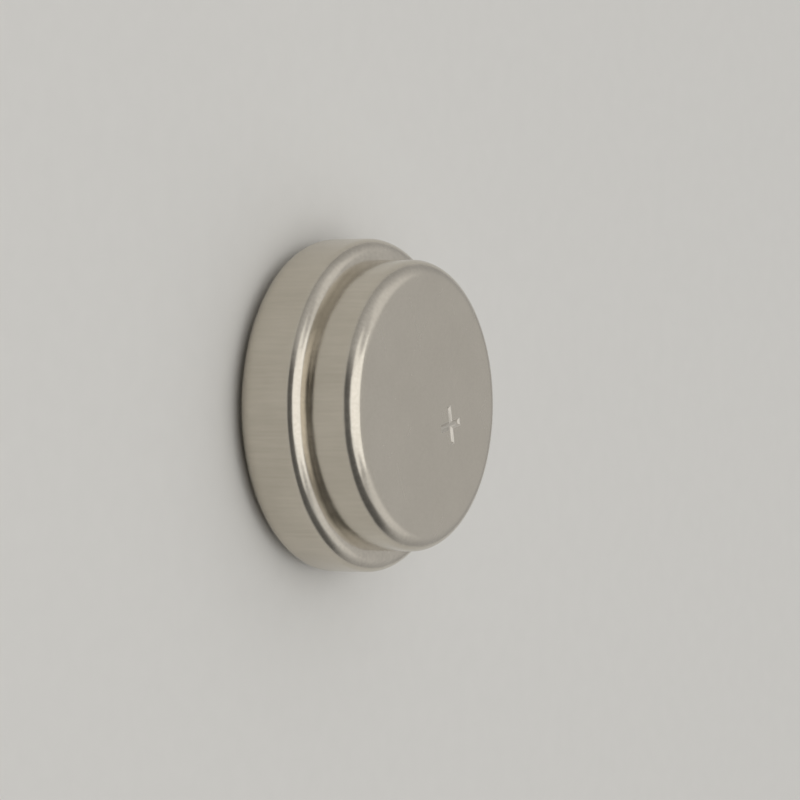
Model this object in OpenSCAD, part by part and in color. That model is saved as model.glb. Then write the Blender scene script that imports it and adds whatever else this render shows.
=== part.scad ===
// Alkaline button cell of the stepped kind, 15.5 mm across and 6 mm high.
// It stands on its negative contact, with its axis on Z and its positive face up.
// Every piece is turned from a half profile, drawn with the radius along x and the height along y.

/* [Whole cell] */
// Height from the negative contact to the positive face
cell_h = 6; // [5.4:0.1:6.6]
// Diameter over the rim, the widest part of the can
rim_d = 15.5; // [14:0.1:17]
// Clearance left between pieces that are pressed together
fit = 0.02; // [0.01:0.005:0.03]

/* [Positive can] */
// Thickness of the can's nickel-plated steel sheet
can_t = 0.25; // [0.2:0.01:0.3]
// Height of the ledge above the negative contact
rim_h = 3.4; // [2.9:0.1:3.9]
// Width of the ledge, from the rim's wall to the wall of the narrow positive end
ledge_w = 1; // [0.8:0.05:1.2]
// Outside radius of the edge round the positive face
boss_edge_r = 0.85; // [0.5:0.05:1.1]
// Outside radius of the edge of the ledge
rim_edge_r = 0.55; // [0.3:0.05:0.7]
// Radius in the corner between the ledge and the narrow end
ledge_root_r = 0.08; // [0.05:0.01:0.15]
// Outside radius of the rim where it is rolled in over the seal
crimp_r = 0.9; // [0.7:0.05:1.1]
// Width of the rolled rim, from the rim's wall to its cut edge at the mouth
lip_w = 1.45; // [1.2:0.05:1.7]
// Rounding of the rim's cut edge at the mouth
lip_edge_r = 0.1; // [0.05:0.01:0.18]

/* [Negative cap] */
// Thickness of the cap's nickel-plated steel sheet
cap_t = 0.25; // [0.2:0.01:0.3]
// How far the negative contact stands out of the rolled rim
contact_out = 0.2; // [0.1:0.05:0.3]
// Outside radius of the edge round the negative contact
contact_edge_r = 0.4; // [0.3:0.05:0.5]
// Radius in the corner between the neck and the shoulder
neck_root_r = 0.15; // [0.1:0.05:0.25]
// Outside radius of the edge of the shoulder
shoulder_edge_r = 0.4; // [0.3:0.05:0.6]
// Height of the folded-back layer's cut edge above the shoulder
hem_rise = 0.65; // [0.5:0.05:0.8]
// Gap between the two layers of the fold
fold_gap = 0.06; // [0.05:0.01:0.1]

/* [Seal and inner pieces] */
// Width of the nylon ring that shows between the rolled rim and the cap's neck
ring_w = 0.5; // [0.3:0.05:0.7]
// Thickness of the nylon between the rolled rim and the cap's shoulder
lip_seal_t = 0.3; // [0.25:0.05:0.4]
// Thickness of the nylon between the can's wall and the cap's fold
wall_seal_t = 0.4; // [0.3:0.05:0.5]
// Thickness of the nylon foot under the cap's fold
foot_t = 0.5; // [0.4:0.05:0.7]
// Width of the nylon foot, from the can's wall in to its bore
foot_w = 1.3; // [1.1:0.05:1.6]
// How far the nylon in the mouth lies back from the rolled rim's face
seal_back = 0.1; // [0.05:0.01:0.2]
// Thickness of the barrier sheet on the cathode
separator_t = 0.1; // [0.06:0.01:0.2]

/* [Hidden] */
$fn = 96;

rim_r = rim_d / 2;
boss_r = rim_r - ledge_w;
mouth_r = rim_r - lip_w;
neck_r = mouth_r - ring_w;
foot_r = rim_r - can_t - foot_w;

// Heights of the sheet's inner faces in the can: under the ledge and over the rolled rim
ceiling_z = rim_h - can_t;
crimp_in_z = contact_out + can_t;

// Heights in the stack between the can and the cap
separator_z = ceiling_z - separator_t;
foot_z = separator_z - foot_t;
shoulder_z = crimp_in_z + lip_seal_t;

// The cap's fold: a half turn of the sheet, and the skirt inside it
fold_r = cap_t + fold_gap / 2;
hem_r = rim_r - can_t - wall_seal_t;
hem_z = foot_z - fit;
bend_z = hem_z - fold_r;
hem_end_z = shoulder_z + hem_rise;
skirt_r = hem_r - cap_t - fold_gap;

// Fillets give way to the walls that they join
ledge_root = min(ledge_root_r, ledge_w - rim_edge_r - fit);
contact_edge = min(contact_edge_r, shoulder_z - neck_root_r - fit);

// Cutters reach this far past what they cut
spill = 1;

// What a rounded outer corner takes away, seen from the centre of its arc
module corner_cut(radius) {
    difference() {
        square(radius + spill);
        circle(radius);
    }
}

// What a fillet adds in the inner corner at the origin
module corner_fill(radius) {
    difference() {
        translate([-spill / 4, -spill / 4])
            square(radius + spill / 4);
        translate([radius, radius])
            circle(radius);
    }
}

// Half profile of a disc, with its outer edges rounded
module disc(radius, low_z, high_z, low_edge = 0, high_edge = 0) {
    difference() {
        translate([0, low_z])
            square([radius, high_z - low_z]);
        if (high_edge > 0)
            translate([radius - high_edge, high_z - high_edge])
                corner_cut(high_edge);
        if (low_edge > 0)
            translate([radius - low_edge, low_z + low_edge])
                mirror([0, 1])
                    corner_cut(low_edge);
    }
}

// Half profile of a drawn, stepped cup: a wide part, a ledge and a narrow closed end.
// A depth moves every face in by the same amount, so two depths bound a sheet of even thickness.
// The wide end is rolled in where roll is given, and otherwise it is open at open_z.
module cup(depth, wide_r, ledge, narrow_r, end_z, wide_edge, narrow_edge, root, open_z, roll = 0) {
    low_z = roll > 0 ? open_z + depth : open_z;
    disc(wide_r - depth, low_z, ledge - depth, max(roll - depth, 0), max(wide_edge - depth, 0));
    disc(narrow_r - depth, (low_z + ledge) / 2, end_z - depth, 0, max(narrow_edge - depth, 0));
    translate([narrow_r - depth, ledge - depth])
        corner_fill(root + depth);
}

// The can's form, at a depth under its outer face
module can_form(depth) {
    cup(depth, rim_r, rim_h, boss_r, cell_h, rim_edge_r, boss_edge_r, ledge_root, contact_out, crimp_r);
}

// The cap's form, at a depth under its outer face, with its open end carried on by reach
module cap_form(depth, reach = 0) {
    translate([0, bend_z])
        mirror([0, 1])
            cup(depth, skirt_r, bend_z - shoulder_z, neck_r, bend_z,
                shoulder_edge_r, contact_edge, neck_root_r, -reach);
}

// The layer folded back outside the cap's skirt, with the half turn that joins it
module cap_fold() {
    difference() {
        union() {
            translate([hem_r - cap_t, hem_end_z])
                square([cap_t, bend_z - hem_end_z]);
            translate([hem_r - fold_r, bend_z])
                circle(fold_r);
        }
        translate([hem_r - fold_r, bend_z])
            circle(fold_gap / 2);
        translate([hem_r - 2 * fold_r - spill, bend_z - spill])
            square([2 * fold_r + spill - cap_t, spill]);
    }
}

// The space that the cap takes up inside the seal, grown on every side by the clearance
module cap_space() {
    cap_form(-fit);
    disc(hem_r + fit, hem_end_z - fit, hem_z + fit, 0, fold_r + fit);
}

// The rolled rim's mouth, with the rounding of its cut edge
module mouth() {
    translate([0, contact_out - spill])
        square([mouth_r, can_t + 2 * spill]);
    translate([mouth_r + lip_edge_r, contact_out + lip_edge_r])
        rotate(180)
            corner_cut(lip_edge_r);
}

// Drawn steel can: positive face, ledge, rim and the edge rolled in over the seal
module positive_can() {
    color("#c9c3b6")
        rotate_extrude()
            difference() {
                can_form(0);
                can_form(can_t);
                mouth();
            }
}

// Pressed manganese dioxide and graphite, which fills the narrow end of the can
module cathode_pellet() {
    color("#2b2a2a")
        rotate_extrude()
            disc(boss_r - can_t - fit, ceiling_z, cell_h - can_t - fit, 0,
                 max(boss_edge_r - can_t - fit, 0));
}

// Barrier sheet, held between the seal's foot and the can's ledge
module separator_disc() {
    color("#e9e4d4")
        rotate_extrude()
            disc(rim_r - max(rim_edge_r, can_t) - fit, separator_z, ceiling_z);
}

// Absorbent felt that fills the bore of the seal's foot
module absorbent_disc() {
    color("#f4f1e8")
        rotate_extrude()
            disc(foot_r - fit, foot_z, separator_z);
}

// Zinc powder gel, which fills the cap up to the felt
module anode_gel() {
    color("#8d9096")
        rotate_extrude()
            intersection() {
                cap_form(cap_t + fit, spill);
                square([rim_r, foot_z]);
            }
}

// Nylon seal: a lip under the rolled rim, a wall round the fold and a foot over its end
module sealing_gasket() {
    color("#5d6a66")
        rotate_extrude()
            difference() {
                union() {
                    intersection() {
                        can_form(can_t + fit);
                        union() {
                            translate([foot_r, 0])
                                square([rim_r, separator_z]);
                            square([rim_r, shoulder_z + fit]);
                        }
                    }
                    translate([0, contact_out + seal_back])
                        square([mouth_r - fit, shoulder_z - contact_out - seal_back]);
                }
                cap_space();
            }
}

// Drawn steel cap: negative contact, neck, shoulder, skirt and the edge folded back outside it
module negative_cap() {
    color("#cfc9bc")
        rotate_extrude()
            union() {
                difference() {
                    cap_form(0);
                    cap_form(cap_t, spill);
                }
                cap_fold();
            }
}

positive_can();
cathode_pellet();
separator_disc();
absorbent_disc();
anode_gel();
sealing_gasket();
negative_cap();
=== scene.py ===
# %% [markdown]
# # A stepped alkaline button cell
# The cell is a small sealed can, 15.5 mm across and 6 mm high, that stands on its negative contact. From
# outside one sees three pieces: the drawn steel can, a thin nylon ring, and the steel cap in its mouth.
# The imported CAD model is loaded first, as a fixed frame. Its solids are right, but their round faces have
# few facets, and polished metal shows every facet. So the three outer pieces are turned again here, finely.

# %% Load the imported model
import math

import bpy
from mathutils import Matrix, Vector


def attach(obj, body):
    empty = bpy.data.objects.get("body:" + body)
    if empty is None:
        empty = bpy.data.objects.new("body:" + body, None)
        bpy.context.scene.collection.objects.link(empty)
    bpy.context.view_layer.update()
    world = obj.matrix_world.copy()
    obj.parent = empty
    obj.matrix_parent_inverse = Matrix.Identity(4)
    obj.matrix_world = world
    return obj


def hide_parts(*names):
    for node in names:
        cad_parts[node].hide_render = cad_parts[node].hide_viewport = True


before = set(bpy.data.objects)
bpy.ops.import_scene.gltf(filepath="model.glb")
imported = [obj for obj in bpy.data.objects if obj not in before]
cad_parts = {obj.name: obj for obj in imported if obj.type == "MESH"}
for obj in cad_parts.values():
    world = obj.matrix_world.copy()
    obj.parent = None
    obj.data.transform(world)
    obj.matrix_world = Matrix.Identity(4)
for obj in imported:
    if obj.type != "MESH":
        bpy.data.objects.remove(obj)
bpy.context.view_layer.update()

MM = 0.001          # one millimetre, in metres
print("CAD nodes:", ", ".join(sorted(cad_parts)))

# %% [markdown]
# ## Turning a piece from its half section
# Every piece of the cell is round, so each is a section turned about the Z axis. One could stack cylinders
# and bevel their edges, but the sheet has the same thickness through every bend, and that is easier to see
# in a section. A plane is merged to one vertex, the vertex is extruded from corner to corner, each corner is
# rounded with a vertex bevel, and Spin turns the outline. The work is done with 1 unit as 1 mm, because
# merging and bevelling are safer on numbers near 1, and the finished piece is scaled to metres.

# %% Helpers for turned pieces
TURN_STEPS = 256    # facets round a piece, fine enough for a clean reflection
BEND_STEPS = 12     # facets in each rounded corner
SLACK = 1e-4        # places closer than this count as one, in mm
WELD = 1e-5         # vertices closer than this are merged, in mm
SHARP = math.radians(35)    # an edge that turns by more than this stays sharp


def pick(piece, test):
    """In edit mode, select the vertices of a piece whose place passes a test."""
    bpy.ops.object.mode_set(mode="OBJECT")
    bpy.context.tool_settings.mesh_select_mode = (True, False, False)
    for part in (piece.data.polygons, piece.data.edges):
        part.foreach_set("select", [False] * len(part))
    chosen = [bool(test(v.co)) for v in piece.data.vertices]
    piece.data.vertices.foreach_set("select", chosen)
    bpy.ops.object.mode_set(mode="EDIT")
    return sum(chosen)


def near(radius, height):
    """A test for the vertices that lie on one ring, in mm."""
    return lambda co: abs(math.hypot(co.x, co.y) - radius) < SLACK and abs(co.z - height) < SLACK


def turned(name, corners, ring=False):
    """Turn a half section about Z. Each corner is (radius, height, rounding), in mm."""
    bpy.ops.object.select_all(action="DESELECT")
    bpy.ops.mesh.primitive_plane_add(size=1)
    piece = bpy.context.object
    piece.name = piece.data.name = name
    bpy.ops.object.mode_set(mode="EDIT")
    bpy.ops.mesh.merge(type="CENTER")
    bpy.ops.transform.translate(value=(corners[0][0], 0, corners[0][1]))
    for (r0, z0, _), (r1, z1, _) in zip(corners, corners[1:]):
        bpy.ops.mesh.extrude_region_move(TRANSFORM_OT_translate={"value": (r1 - r0, 0, z1 - z0)})
    if ring:
        ends = [near(*corners[i][:2]) for i in (0, -1)]
        pick(piece, lambda co: any(end(co) for end in ends))
        bpy.ops.mesh.edge_face_add()
    for radius, height, rounding in corners:
        if rounding:
            pick(piece, near(radius, height))
            bpy.ops.mesh.bevel(offset=rounding, segments=BEND_STEPS, affect="VERTICES", clamp_overlap=False)
    bpy.ops.mesh.select_all(action="SELECT")
    bpy.ops.mesh.spin(steps=TURN_STEPS, angle=math.tau, center=(0, 0, 0), axis=(0, 0, 1))
    bpy.ops.mesh.select_all(action="SELECT")
    bpy.ops.mesh.remove_doubles(threshold=WELD)
    return piece


def closed(piece, rings=()):
    """Close the open rings of a turned piece with flat faces, and turn every face outwards."""
    bpy.ops.object.mode_set(mode="EDIT")
    for radius, height in rings:
        pick(piece, near(radius, height))
        bpy.ops.mesh.edge_face_add()
    bpy.ops.mesh.select_all(action="SELECT")
    bpy.ops.mesh.normals_make_consistent(inside=False)
    bpy.ops.mesh.select_all(action="DESELECT")
    bpy.ops.mesh.select_non_manifold()
    bpy.ops.object.mode_set(mode="OBJECT")
    loose = sum(v.select for v in piece.data.vertices)
    print(f"{piece.name}: {len(piece.data.polygons)} faces, {loose} vertices on open edges")


def finished(piece):
    """Smooth a piece, keep its flats flat, and bring it from mm to metres."""
    bpy.ops.object.select_all(action="DESELECT")
    piece.select_set(True)
    bpy.context.view_layer.objects.active = piece
    bpy.ops.object.shade_smooth_by_angle(angle=SHARP)
    weighted = piece.modifiers.new("flat_faces_stay_flat", "WEIGHTED_NORMAL")
    weighted.keep_sharp = True
    bpy.ops.object.modifier_apply(modifier=weighted.name)
    piece.scale = (MM, MM, MM)
    bpy.ops.object.transform_apply(location=True, rotation=True, scale=True)
    # corners 0 and 6 of a bound box are its lowest and its highest
    low, high = (Vector(piece.bound_box[i]) / MM for i in (0, 6))
    print(f"{piece.name}: {[round(x, 2) for x in low]} to {[round(x, 2) for x in high]} mm")


print("facets:", TURN_STEPS, "round a piece,", BEND_STEPS, "in a bend")

# %% [markdown]
# ## The positive can
# The can is drawn from one sheet of nickel-plated steel: a flat positive face, a large soft edge, a narrow
# wall, a ledge with a smaller edge, the wide rim, and the rim's end, which is rolled in over the seal. The
# pull of that roll bends the ledge a little: it slopes up from the rim, turns level and meets the narrow wall
# in a sharp corner.
# It could be an outer skin with a Solidify modifier, but the section is only fourteen corners, and it gives
# each bend its own inner and outer radius, which differ by the thickness of the sheet.

# %% Sizes of the can, in mm
CELL_H = 6.0        # height of the cell
RIM_R, RIM_H = 7.75, 3.4            # radius of the wide rim, and height of its upper edge
BOSS_R = 6.75       # radius of the narrow positive end
MOUTH_R = 6.3       # radius of the mouth that the rolled rim leaves
LIP_Z = 0.2         # height of the rolled rim above the negative contact
SHEET = 0.25        # thickness of the can's and the cap's steel
BOSS_EDGE, RIM_EDGE = 0.85, 0.55    # outer radii of the narrow end's edge and the rim's edge
ROLL, LIP_EDGE = 0.9, 0.1           # outer radii of the rolled rim and of its cut end
LEDGE_RISE = 0.13   # the ledge slopes up by this much from the rim
LEDGE_R, LEDGE_BEND = 7.0, 0.12     # radius at which the ledge turns level, and rounding of that turn
FLAT_R = 5.7        # the positive face is one flat face out to here
print("can:", 2 * RIM_R, "mm across,", CELL_H, "mm high")

# %% Turn the can
LEDGE_H = RIM_H + LEDGE_RISE
can = turned("can_shell", [
    (FLAT_R, CELL_H, 0),
    (BOSS_R, CELL_H, BOSS_EDGE),
    (BOSS_R, LEDGE_H, 0),
    (LEDGE_R, LEDGE_H, LEDGE_BEND),
    (RIM_R, RIM_H, RIM_EDGE),
    (RIM_R, LIP_Z, ROLL),
    (MOUTH_R, LIP_Z, LIP_EDGE),
    (MOUTH_R, LIP_Z + SHEET, 0),
    (RIM_R - SHEET, LIP_Z + SHEET, ROLL - SHEET),
    (RIM_R - SHEET, RIM_H - SHEET, RIM_EDGE - SHEET),
    (LEDGE_R, LEDGE_H - SHEET, LEDGE_BEND),
    (BOSS_R - SHEET, LEDGE_H - SHEET, SHEET),
    (BOSS_R - SHEET, CELL_H - SHEET, BOSS_EDGE - SHEET),
    (FLAT_R, CELL_H - SHEET, 0),
])
closed(can, [(FLAT_R, CELL_H), (FLAT_R, CELL_H - SHEET)])

# %% [markdown]
# ## The stamped sign
# Such cells have their sign stamped into the positive face, as a shallow groove under 0.4 mm wide, with sloping
# sides that catch the light. It is a plain plus sign. It could be bump in the plate's material, but a groove of
# this depth has a real outline and a real shadow. A cutter is made from a cube whose four sides are extruded to
# arms. The cross's underside is inset and pushed down, which gives the sloping sides. A Boolean takes the cutter
# out of the face, and a bevel softens the edges of the groove.

# %% Sizes and place of the sign, in mm
SIGN_AT = (2.05, -0.9)
SIGN_TURN = math.radians(12)
ARM, STROKE = 0.9, 0.38             # length of an arm from the middle, and width of the groove
STAMP_DEPTH, STAMP_SLOPE = 0.1, 0.13        # depth of the groove, and width of its sloping sides
STAMP_EDGE, STAMP_STEPS = 0.025, 3  # rounding of the groove's edges, and its facets
BLOCK_H = 0.2       # height of the cutter above its slope
OVER = 0.01         # the cutter's slope starts this far above the face
print("sign:", 2 * ARM, "mm across,", STAMP_DEPTH, "mm deep")

# %% Make the cutter
bpy.ops.object.select_all(action="DESELECT")
bpy.ops.mesh.primitive_cube_add(size=1)
cutter = bpy.context.object
bpy.ops.object.mode_set(mode="EDIT")
bpy.ops.transform.resize(value=(STROKE, STROKE, BLOCK_H))
half = STROKE / 2
for axis, sign in ((0, 1), (0, -1), (1, 1), (1, -1)):
    pick(cutter, lambda co: abs(co[axis] * sign - half) < SLACK and abs(co[1 - axis]) < half + SLACK)
    push = [0, 0, 0]
    push[axis] = sign * (ARM - half)
    bpy.ops.mesh.extrude_region_move(TRANSFORM_OT_translate={"value": push})
pick(cutter, lambda co: co.z < 0)
bpy.ops.mesh.inset(thickness=STAMP_SLOPE)
bpy.ops.transform.translate(value=(0, 0, -STAMP_DEPTH - OVER))
bpy.ops.object.mode_set(mode="OBJECT")
block_z = CELL_H + BLOCK_H / 2 + OVER
cutter.matrix_world = Matrix.Translation((*SIGN_AT, block_z)) @ Matrix.Rotation(SIGN_TURN, 4, "Z")
bpy.ops.object.transform_apply(location=True, rotation=True, scale=True)
print("stamp:", len(cutter.data.polygons), "faces")

# %% Stamp the face
bpy.ops.object.select_all(action="DESELECT")
can.select_set(True)
bpy.context.view_layer.objects.active = can
cut = can.modifiers.new("stamp", "BOOLEAN")
cut.object, cut.operation, cut.solver = cutter, "DIFFERENCE", "EXACT"
bpy.ops.object.modifier_apply(modifier=cut.name)
bpy.data.objects.remove(cutter)


def on_sign(co, low, high):
    """Whether a place is in the sign's part of the face, between two heights in mm."""
    return low < co.z < high and (co.to_2d() - Vector(SIGN_AT)).length < 2 * ARM


for height in (CELL_H, CELL_H - STAMP_DEPTH):
    count = pick(can, lambda co: on_sign(co, height - SLACK, height + SLACK))
    bpy.ops.mesh.bevel(offset=STAMP_EDGE, segments=STAMP_STEPS, affect="EDGES")
    print("stamp edge at", round(height, 2), "mm:", count, "vertices")
closed(can)
finished(can)

# %% [markdown]
# ## The nylon seal
# The seal is a moulded ring that keeps the can and the cap apart. Only a narrow band of it shows, in the
# mouth of the rolled rim, a little below the metal. Inside, it has a wall round the cap's folded edge and a
# foot over the fold, so its section is a hook. It could be a thick ring with the cap cut out of it, but the
# hook is plainer as one closed outline, which is turned with no flat to fill.

# %% Sizes of the seal and the cap, in mm
FIT = 0.02          # clearance between pressed pieces
NECK_R = 5.8        # radius of the cap's contact
SHOULDER_Z = 0.75   # outer face of the cap's shoulder
SKIRT_R = 6.79      # outer radius of the cap's skirt
FOLD_GAP = 0.06     # gap between the two layers of the folded edge
FOLD_R = SHEET + FOLD_GAP / 2       # outer radius of the fold
HEM_R = SKIRT_R + FOLD_GAP + SHEET  # outer radius of the layer that is folded back
BARRIER = 0.1       # thickness of the barrier sheet that lies on the seal's foot
FOOT_R, FOOT_H = 6.2, 0.5           # bore and height of the foot
FOOT_TOP = RIM_H - SHEET - BARRIER
FOOT_Z = FOOT_TOP - FOOT_H
HEM_Z, HEM_END = FOOT_Z - FIT, 1.4  # heights of the fold and of the folded layer's end
CONTACT_EDGE, NECK_ROOT, SHOULDER_EDGE = 0.4, 0.15, 0.4     # outer radii of the cap's bends
SEAL_BACK = 0.1     # the nylon lies this far back from the rolled rim
SEAL_EDGE = 0.05    # rounding of the moulded edges
LEAD_W, LEAD_H = 0.08, 0.2          # slope that leads the seal into the can
print("folded edge:", round(HEM_R - SKIRT_R + SHEET, 2), "mm thick")

# %% Turn the seal
seal_r = RIM_R - SHEET - FIT
seal_z = LIP_Z + SHEET + FIT
seal = turned("seal_ring", [
    (FOOT_R, FOOT_TOP, SEAL_EDGE),
    (seal_r - LEAD_W, FOOT_TOP, 0),
    (seal_r, FOOT_TOP - LEAD_H, 0),
    (seal_r, seal_z, ROLL - SHEET - FIT),
    (MOUTH_R - FIT, seal_z, 0),
    (MOUTH_R - FIT, LIP_Z + SEAL_BACK, SEAL_EDGE),
    (NECK_R + FIT, LIP_Z + SEAL_BACK, SEAL_EDGE),
    (NECK_R + FIT, SHOULDER_Z - FIT, NECK_ROOT - FIT),
    (SKIRT_R + FIT, SHOULDER_Z - FIT, SHOULDER_EDGE + FIT),
    (SKIRT_R + FIT, HEM_END - FIT, 0),
    (HEM_R + FIT, HEM_END - FIT, 0),
    (HEM_R + FIT, FOOT_Z, FOLD_R + FIT),
    (FOOT_R, FOOT_Z, SEAL_EDGE),
], ring=True)
closed(seal)
finished(seal)

# %% [markdown]
# ## The negative cap
# The cap is a second drawn cup, upside down in the seal. Its flat contact stands 0.2 mm out of the rolled
# rim and carries the cell. Its edge is folded back on itself inside the seal, which stiffens it against the
# crimp. A Solidify modifier would run into itself in so tight a fold, so the cap is turned from its section
# too. The half turn of the fold is two vertex bevels that meet in the middle of a short side.

# %% Turn the cap
CONTACT_R = 5.3     # the contact is one flat face out to here, in mm
cap = turned("cap_shell", [
    (CONTACT_R, 0, 0),
    (NECK_R, 0, CONTACT_EDGE),
    (NECK_R, SHOULDER_Z, NECK_ROOT),
    (SKIRT_R, SHOULDER_Z, SHOULDER_EDGE),
    (SKIRT_R, HEM_Z - SHEET, FOLD_GAP / 2),
    (SKIRT_R + FOLD_GAP, HEM_Z - SHEET, FOLD_GAP / 2),
    (SKIRT_R + FOLD_GAP, HEM_END, 0),
    (HEM_R, HEM_END, 0),
    (HEM_R, HEM_Z, FOLD_R),
    (HEM_R - 2 * FOLD_R, HEM_Z, FOLD_R),
    (SKIRT_R - SHEET, SHOULDER_Z + SHEET, SHOULDER_EDGE - SHEET),
    (NECK_R - SHEET, SHOULDER_Z + SHEET, NECK_ROOT + SHEET),
    (NECK_R - SHEET, SHEET, CONTACT_EDGE - SHEET),
    (CONTACT_R, SHEET, 0),
])
closed(cap, [(CONTACT_R, 0), (CONTACT_R, SHEET)])
finished(cap)

# %% [markdown]
# ## Colours and nodes
# Colours are written as sRGB hex values, as one reads them from a picture, and turned to linear light once.
# Patterns read Object coordinates, which are in metres, so a pattern's scale is worked out from the size in
# millimetres of one of its grains. One small function adds a node, sets its values and links its inputs.

# %% Helpers for materials
# a Mix node has several sockets of the same name, one for each kind of value, so they are picked by number
FACTOR, DARK, LIGHT, TONE = 0, 6, 7, 2      # a mix of colours: three inputs and the output
FIRST, SECOND, BLEND = 2, 3, 0              # a mix of numbers: two inputs and the output


def hex_colour(code):
    """Linear RGBA of an sRGB hex colour."""
    parts = [int(code[i:i + 2], 16) / 255 for i in (1, 3, 5)]
    return (*(c / 12.92 if c <= 0.04045 else ((c + 0.055) / 1.055) ** 2.4 for c in parts), 1.0)


def grain(size_mm):
    """Texture scale that gives grains of this size, in mm."""
    return 1 / (size_mm * MM)


def fill(node, inputs):
    """Fill a node's inputs with values, or link them to other nodes' sockets."""
    for key, value in inputs.items():
        if isinstance(value, bpy.types.NodeSocket):
            node.id_data.links.new(value, node.inputs[key])
        else:
            node.inputs[key].default_value = value


def add(tree, kind, inputs=None, **settings):
    """Add a node, set it, and fill its inputs."""
    node = tree.nodes.new(kind)
    for name, value in settings.items():
        setattr(node, name, value)
    fill(node, inputs or {})
    return node


def finish_of(name):
    """A new material, with its tree, its shader and its Object coordinates."""
    material = bpy.data.materials.new(name)
    material.use_nodes = True
    tree = material.node_tree
    shader = tree.nodes["Principled BSDF"]
    return material, tree, shader, add(tree, "ShaderNodeTexCoord").outputs["Object"]


print("middle grey in linear light:", round(hex_colour("#808080")[0], 3))

# %% [markdown]
# ## Satin nickel plate
# The can is steel sheet, plated with nickel before it is drawn. Nickel is a slightly warm grey metal, so its
# colour is its reflection at right angles, and its IOR stays at the default. Drawing stretches the plate
# along the walls, which leaves fine lines up them; on the flat face the same pattern is an even grain. The
# sheet is also a little wavy, which makes the bright lines along its edges waver. Handling leaves hairlines
# in two directions and a few small nicks. A picture of a plate would need an unwrapped mesh and would blur close
# up, so each of these is a pattern. Together they drive one bump, and some also tint or dull the plate.

# %% Patterns of the plate
nickel, tree, shader, place = finish_of("satin_nickel_plate_on_drawn_steel")
drawn = add(tree, "ShaderNodeMapping", {"Vector": place, "Scale": (1, 1, 0.06)}).outputs["Vector"]
lines = add(tree, "ShaderNodeTexNoise",
            {"Vector": drawn, "Scale": grain(0.16), "Detail": 3.0, "Roughness": 0.6}).outputs["Fac"]
mottle = add(tree, "ShaderNodeTexNoise", {"Vector": place, "Scale": grain(2.2), "Detail": 4.0}).outputs["Fac"]
waver = add(tree, "ShaderNodeTexNoise", {"Vector": place, "Scale": grain(1.6), "Detail": 1.0}).outputs["Fac"]
hairs = []
for turn in (25, -40):
    # real hairlines are a few micrometres wide; these are drawn 0.06 mm wide, so that they show
    swept = add(tree, "ShaderNodeMapping",
                {"Vector": place, "Rotation": (0, 0, math.radians(turn)), "Scale": (1, 50, 50)},
                vector_type="TEXTURE").outputs["Vector"]
    streak = add(tree, "ShaderNodeTexNoise", {"Vector": swept, "Scale": grain(0.12), "Detail": 1.0}).outputs["Fac"]
    hair = add(tree, "ShaderNodeMapRange", {"Value": streak, "From Min": 0.66, "From Max": 0.74})
    hairs.append(hair.outputs["Result"])
both = add(tree, "ShaderNodeMath", {0: hairs[0], 1: hairs[1]}, operation="MAXIMUM").outputs["Value"]
# only the flat face is rubbed, between these heights in mm
RUB_FROM, RUB_FULL = CELL_H - 0.1, CELL_H - 0.02
height_of = add(tree, "ShaderNodeSeparateXYZ", {"Vector": place}).outputs["Z"]
rubbed = add(tree, "ShaderNodeMapRange",
             {"Value": height_of, "From Min": RUB_FROM * MM, "From Max": RUB_FULL * MM}).outputs["Result"]
hairline = add(tree, "ShaderNodeMath", {0: both, 1: rubbed}, operation="MULTIPLY").outputs["Value"]
pits = add(tree, "ShaderNodeTexVoronoi", {"Vector": place, "Scale": grain(4.5)}).outputs["Distance"]
nick = add(tree, "ShaderNodeMapRange", {"Value": pits, "From Min": 0.02, "From Max": 0.06,
                                        "To Min": 1.0, "To Max": 0.0}).outputs["Result"]
print("patterns of the plate:", len(tree.nodes), "nodes")

# %% Make the nickel plate
# where the plate is stretched thin it is a little darker, so the lines and the mottle tint it together
patchy = add(tree, "ShaderNodeMath", {0: mottle, 1: lines}, operation="ADD").outputs["Value"]
tint = add(tree, "ShaderNodeMapRange", {"Value": patchy, "From Min": 0.7, "From Max": 1.3}).outputs["Result"]
# handling rubs the flat face more even than the walls
even = add(tree, "ShaderNodeMapRange", {"Value": rubbed, "To Max": 0.55}).outputs["Result"]
tint = add(tree, "ShaderNodeMix", {FACTOR: even, FIRST: tint, SECOND: 0.5}).outputs[BLEND]
tone = add(tree, "ShaderNodeMix", {FACTOR: tint, DARK: hex_colour("#C6BFB2"), LIGHT: hex_colour("#D3CCBF")},
           data_type="RGBA").outputs[TONE]
# the mottle, the lines and the hairlines each make the plate a little duller
dull = add(tree, "ShaderNodeMapRange", {"Value": mottle, "From Min": 0.3, "From Max": 0.7,
                                        "To Min": 0.15, "To Max": 0.21}).outputs["Result"]
for pattern in (lines, hairline):
    dull = add(tree, "ShaderNodeMath", {0: pattern, 1: 0.06, 2: dull}, operation="MULTIPLY_ADD").outputs["Value"]
# heights in mm, added up: the waviness, the drawn lines, the hairlines and the nicks
height = add(tree, "ShaderNodeMath", {0: waver, 1: 0.03}, operation="MULTIPLY").outputs["Value"]
for pattern, depth in ((lines, 0.0012), (hairline, -0.0012), (nick, -0.006)):
    height = add(tree, "ShaderNodeMath", {0: pattern, 1: depth, 2: height},
                 operation="MULTIPLY_ADD").outputs["Value"]
relief = add(tree, "ShaderNodeBump", {"Height": height, "Distance": MM}).outputs["Normal"]
fill(shader, {"Metallic": 1.0, "Base Color": tone, "Roughness": dull, "Normal": relief})
can.data.materials.append(nickel)
print("material:", nickel.name)

# %% [markdown]
# ## Frosted nickel in the stamp
# The stamp presses its own matt grain into the plate, and fingers never rub the groove, so it stays paler and
# duller than the face. It could be a mask in the plate's own nodes, but the groove has its own faces, so it
# gets a second material, and its faces are picked by their place.

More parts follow.
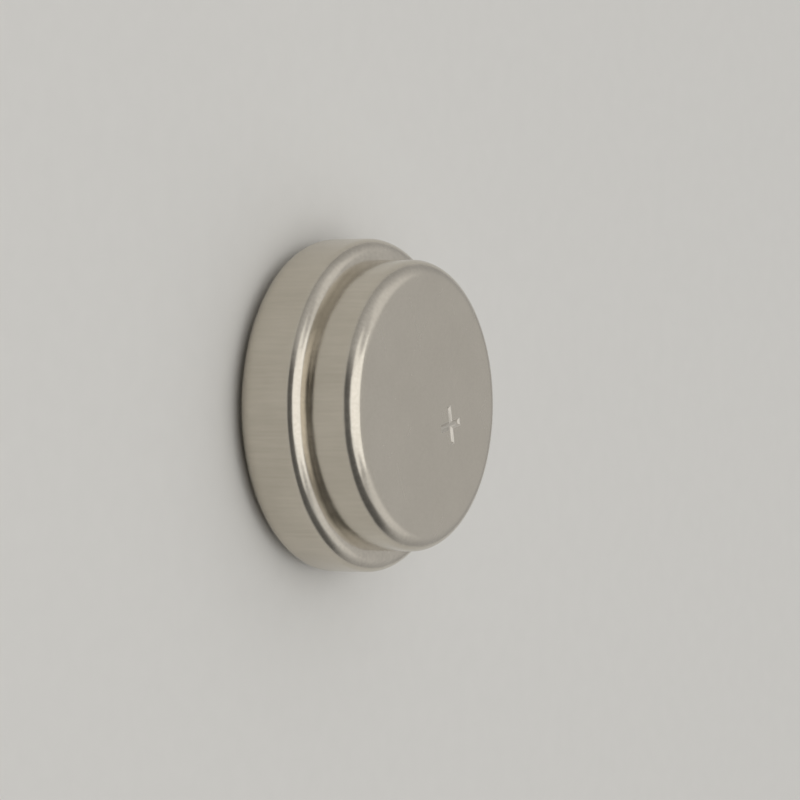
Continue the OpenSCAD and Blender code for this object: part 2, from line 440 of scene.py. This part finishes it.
# %% Make the frosted nickel
frosted, tree, shader, place = finish_of("frosted_nickel_in_the_stamp")
frost = add(tree, "ShaderNodeTexNoise", {"Vector": place, "Scale": grain(0.1), "Detail": 3.0}).outputs["Fac"]
tone = add(tree, "ShaderNodeMix", {FACTOR: frost, DARK: hex_colour("#C6C0B5"), LIGHT: hex_colour("#D2CDC4")},
           data_type="RGBA").outputs[TONE]
dull = add(tree, "ShaderNodeMapRange", {"Value": frost, "From Min": 0.3, "From Max": 0.7,
                                        "To Min": 0.4, "To Max": 0.52}).outputs["Result"]
relief = add(tree, "ShaderNodeBump", {"Height": frost, "Distance": 0.003 * MM}).outputs["Normal"]
fill(shader, {"Metallic": 1.0, "Base Color": tone, "Roughness": dull, "Normal": relief})
can.data.materials.append(frosted)
SUNK = 0.001        # a face whose middle lies further than this below the positive face is in the groove, in mm
groove = [on_sign(face.center / MM, CELL_H - 2 * STAMP_DEPTH, CELL_H - SUNK) for face in can.data.polygons]
can.data.polygons.foreach_set("material_index", [int(inside) for inside in groove])
print("material:", frosted.name, "on", sum(groove), "faces")

# %% [markdown]
# ## Bright nickel on the cap
# The cap has the same plate, but it is pressed flat and rubs on contacts, so it is smoother, with fine
# scratches that run in one direction across the contact face. It could share the can's material, but its wear
# is simpler: one stretched pattern gives the scratches, and a slow one lets the tone drift.

# %% Make the cap's plate
bright, tree, shader, place = finish_of("bright_nickel_plate_on_pressed_steel")
swipe = add(tree, "ShaderNodeMapping",
            {"Vector": place, "Rotation": (0, 0, math.radians(35)), "Scale": (1, 33, 1)},
            vector_type="TEXTURE").outputs["Vector"]
scratch = add(tree, "ShaderNodeTexNoise", {"Vector": swipe, "Scale": grain(0.12), "Detail": 2.0}).outputs["Fac"]
cloud = add(tree, "ShaderNodeTexNoise", {"Vector": place, "Scale": grain(3.0), "Detail": 3.0}).outputs["Fac"]
tone = add(tree, "ShaderNodeMix", {FACTOR: cloud, DARK: hex_colour("#D2CBBF"), LIGHT: hex_colour("#DBD4C9")},
           data_type="RGBA").outputs[TONE]
dull = add(tree, "ShaderNodeMapRange", {"Value": scratch, "From Min": 0.35, "From Max": 0.7,
                                        "To Min": 0.18, "To Max": 0.3}).outputs["Result"]
relief = add(tree, "ShaderNodeBump", {"Height": scratch, "Distance": 0.001 * MM}).outputs["Normal"]
fill(shader, {"Metallic": 1.0, "Base Color": tone, "Roughness": dull, "Normal": relief})
cap.data.materials.append(bright)
print("material:", bright.name)

# %% [markdown]
# ## Moulded nylon
# The seal is moulded nylon, a grey-green plastic with a dull gloss. Moulding leaves it slightly uneven. One flat
# colour would look like paint, so its colour drifts a little and its surface has a soft, shallow grain.

# %% Make the nylon
nylon, tree, shader, place = finish_of("moulded_nylon")
drift = add(tree, "ShaderNodeTexNoise", {"Vector": place, "Scale": grain(1.5), "Detail": 3.0}).outputs["Fac"]
skin = add(tree, "ShaderNodeTexNoise", {"Vector": place, "Scale": grain(0.08), "Detail": 2.0}).outputs["Fac"]
tone = add(tree, "ShaderNodeMix", {FACTOR: drift, DARK: hex_colour("#55625E"), LIGHT: hex_colour("#67756F")},
           data_type="RGBA").outputs[TONE]
dull = add(tree, "ShaderNodeMapRange", {"Value": skin, "From Min": 0.3, "From Max": 0.7,
                                        "To Min": 0.4, "To Max": 0.52}).outputs["Result"]
relief = add(tree, "ShaderNodeBump", {"Height": skin, "Distance": 0.002 * MM}).outputs["Normal"]
fill(shader, {"IOR": 1.53, "Base Color": tone, "Roughness": dull, "Normal": relief})
seal.data.materials.append(nylon)
print("material:", nylon.name)

# %% [markdown]
# ## What fills the cell
# The four inner pieces keep their CAD solids, because nothing opens the cell. They still get real finishes:
# the black cathode mix with graphite specks, the smooth barrier sheet, the felt with its fibres, and the
# grey gel with grains of zinc. They differ only in values, so one loop makes them.

# %% Make the inner finishes
inner = {
    # node: name of the finish, dark tone, light tone, grain in mm, roughness range, metallic, relief in mm
    "cathode_pellet": ("pressed_manganese_and_graphite", "#1D1C1C", "#3A3939", 0.15, (0.6, 0.85), 0.0, 0.02),
    "separator_disc": ("barrier_film_and_paper", "#DDD7C4", "#EFEADB", 0.3, (0.5, 0.65), 0.0, 0.004),
    "absorbent_disc": ("needled_cotton_felt", "#E6E1D3", "#F6F3EB", 0.12, (0.85, 0.95), 0.0, 0.03),
    "anode_gel": ("zinc_powder_gel", "#74777D", "#A5A8AD", 0.2, (0.25, 0.5), 0.35, 0.02),
}
for node_name, (name, dark, light, size, rough, metal, depth) in inner.items():
    filling, tree, shader, place = finish_of(name)
    specks = add(tree, "ShaderNodeTexNoise", {"Vector": place, "Scale": grain(size), "Detail": 4.0}).outputs["Fac"]
    tone = add(tree, "ShaderNodeMix", {FACTOR: specks, DARK: hex_colour(dark), LIGHT: hex_colour(light)},
               data_type="RGBA").outputs[TONE]
    dull = add(tree, "ShaderNodeMapRange", {"Value": specks, "From Min": 0.3, "From Max": 0.7,
                                            "To Min": rough[0], "To Max": rough[1]}).outputs["Result"]
    relief = add(tree, "ShaderNodeBump", {"Height": specks, "Distance": depth * MM}).outputs["Normal"]
    fill(shader, {"Metallic": metal, "Base Color": tone, "Roughness": dull, "Normal": relief})
    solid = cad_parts[node_name].data
    solid.materials.clear()
    solid.materials.append(filling)
    print("material:", name, "on", node_name)

# %% [markdown]
# ## Joining the pieces to the frame
# Each new piece stands for one CAD node and moves with the cell's only body.

# %% Tie the pieces to the frame
for piece, node_name, slot_name in ((can, "positive_can", "can_nickel"), (seal, "sealing_gasket", "seal_nylon"),
                                    (cap, "negative_cap", "cap_nickel")):
    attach(piece, "root")
    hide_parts(node_name)
    print(piece.name, "stands for", node_name)

# %% [markdown]
# ## The floor
# The cell stands on a large sheet of plain pale paper. It lies a hair under the contact, so that the two
# faces don't fight, and its faint grain keeps it from looking like a flat colour.

# %% Make the floor
FLOOR_SIZE = 4      # in metres, so that its edge is far out of view
FLOOR_DROP = 0.02   # in mm
bpy.ops.object.select_all(action="DESELECT")
bpy.ops.mesh.primitive_plane_add(size=FLOOR_SIZE, location=(0, 0, -FLOOR_DROP * MM))
floor = bpy.context.object
floor.name = "floor"
paper, tree, shader, place = finish_of("pale_paper")
fibre = add(tree, "ShaderNodeTexNoise", {"Vector": place, "Scale": grain(1.2), "Detail": 4.0}).outputs["Fac"]
tone = add(tree, "ShaderNodeMix", {FACTOR: fibre, DARK: hex_colour("#DFDDD8"), LIGHT: hex_colour("#E3E1DC")},
           data_type="RGBA").outputs[TONE]
fill(shader, {"Base Color": tone, "Roughness": 0.8})
floor.data.materials.append(paper)
print("floor:", floor.name)

# %% [markdown]
# ## The light
# Metal shows what is round it. One wide soft lamp overhead gives the bright lines along the rounded edges,
# and a grey room gives the flat faces their even tone: it is dimmer at the horizon and has paler patches high
# at the back and beside the lamp. A dark screen stands low at the front, as in a studio, and draws the dark
# line beside each bright one. The patches and the screen could be boards, but they are bands in the world's
# nodes, so no board gets into a view.

# %% Hang the lamp
bpy.ops.object.light_add(type="AREA", location=(-0.15, 0, 0.48))
softbox = bpy.context.object
softbox.name = "softbox"
softbox.rotation_euler = (0, math.radians(-17), 0)
softbox.data.shape = "RECTANGLE"
softbox.data.size, softbox.data.size_y = 0.62, 0.43
SOFTBOX_LEVEL = 0.78     # how bright the lamp's face is over the room, where 1 is white
softbox.data.energy = SOFTBOX_LEVEL * math.pi * softbox.data.size * softbox.data.size_y
print("softbox:", round(softbox.data.energy, 2), "W")

# %% Tone the room
room = bpy.data.worlds.new("grey_room")
bpy.context.scene.world = room
room.use_nodes = True
tree = room.node_tree
way = add(tree, "ShaderNodeTexCoord").outputs["Generated"]
parts = add(tree, "ShaderNodeSeparateXYZ", {"Vector": way}).outputs
aside = add(tree, "ShaderNodeMath", {0: parts["Y"]}, operation="ABSOLUTE").outputs["Value"]
SCREEN_WAY = (-0.75, -0.66, 0)      # from the cell to the middle of the dark screen
ahead = add(tree, "ShaderNodeVectorMath", {0: way, 1: SCREEN_WAY}, operation="DOT_PRODUCT").outputs["Value"]
level = {}
# each band: what it follows, where it starts and ends, and its levels there
for name, value, start, end, low, high in (
        # the room, dimmer at the horizon
        ("sky", parts["Z"], 0.15, 0.5, 0.43, 0.57),
        # a paler patch high on each side, at the back
        ("glow", aside, 0.15, 0.4, 0.0, 0.25),
        ("glow_back", parts["X"], -0.1, 0.25, 0.0, 1.0),
        ("glow_high", parts["Z"], 0.45, 0.62, 0.0, 1.0),
        # a pale patch beside each end of the lamp, at the front
        ("wing", aside, 0.34, 0.44, 0.0, 0.6),
        ("wing_end", aside, 0.75, 0.62, 0.0, 1.0),
        ("wing_front", parts["X"], -0.15, -0.35, 0.0, 1.0),
        ("wing_low", parts["Z"], 0.58, 0.66, 0.0, 1.0),
        # the dark screen, low at the front
        ("screen", ahead, 0.0, 0.5, 0.0, 0.76),
        ("screen_foot", parts["Z"], 0.02, 0.12, 0.0, 1.0),
        ("screen_top", parts["Z"], 0.68, 0.58, 0.0, 1.0)):
    level[name] = add(tree, "ShaderNodeMapRange", {"Value": value, "From Min": start, "From Max": end,
                                                   "To Min": low, "To Max": high},
                      interpolation_type="SMOOTHSTEP").outputs["Result"]
# the bands of a patch are multiplied, the patches are added to the sky, and the screen takes its share away
for name, one, other, operation in (
        ("glow", "glow", "glow_back", "MULTIPLY"), ("glow", "glow", "glow_high", "MULTIPLY"),
        ("screen", "screen", "screen_foot", "MULTIPLY"), ("screen", "screen", "screen_top", "MULTIPLY"),
        ("wing", "wing", "wing_end", "MULTIPLY"), ("wing", "wing", "wing_front", "MULTIPLY"),
        ("wing", "wing", "wing_low", "MULTIPLY"), ("sky", "sky", "glow", "ADD"), ("sky", "sky", "wing", "ADD"),
        ("shade", "sky", "screen", "MULTIPLY"), ("room", "sky", "shade", "SUBTRACT")):
    level[name] = add(tree, "ShaderNodeMath", {0: level[one], 1: level[other]},
                      operation=operation).outputs["Value"]
fill(tree.nodes["Background"], {"Color": level["room"]})
print("room:", room.name, "with", len(tree.nodes), "nodes")

# %% [markdown]
# ## The camera
# The line of sight is about 60 degrees from the cell's axis, and the camera lies on its side, so the axis
# points to the right of the picture. A constraint could aim it, but not lay it on its side, so its three axes
# are written out. A long lens keeps the ellipses true.

# %% Place the camera
LOOK = math.radians(60.1)       # between the cell's axis and the line of sight
ROLL_TURN = math.radians(-0.3)  # small turn of the picture
AWAY, ASIDE, ABOVE = 220 * MM, 1.255 * MM, 0.251 * MM   # from the middle of the cell, along the camera's axes
LENS, SENSOR = 212.9, 36        # in mm
along = Vector((math.cos(LOOK), 0, math.sin(LOOK)))
across = Vector((0, 1, 0))
back = Vector((-math.sin(LOOK), 0, math.cos(LOOK)))
right = along * math.cos(ROLL_TURN) - across * math.sin(ROLL_TURN)
up = along * math.sin(ROLL_TURN) + across * math.cos(ROLL_TURN)
bpy.ops.object.camera_add()
camera = bpy.context.object
camera.data.lens, camera.data.sensor_width = LENS, SENSOR
camera.data.clip_start = 0.01
eye = Vector((0, 0, CELL_H / 2 * MM)) + back * AWAY + right * ASIDE + up * ABOVE
camera.matrix_world = Matrix.Translation(eye) @ Matrix((right, up, back)).transposed().to_4x4()
bpy.context.scene.camera = camera
bpy.context.scene.view_settings.view_transform = "Standard"
print("camera at", [round(x, 4) for x in eye])
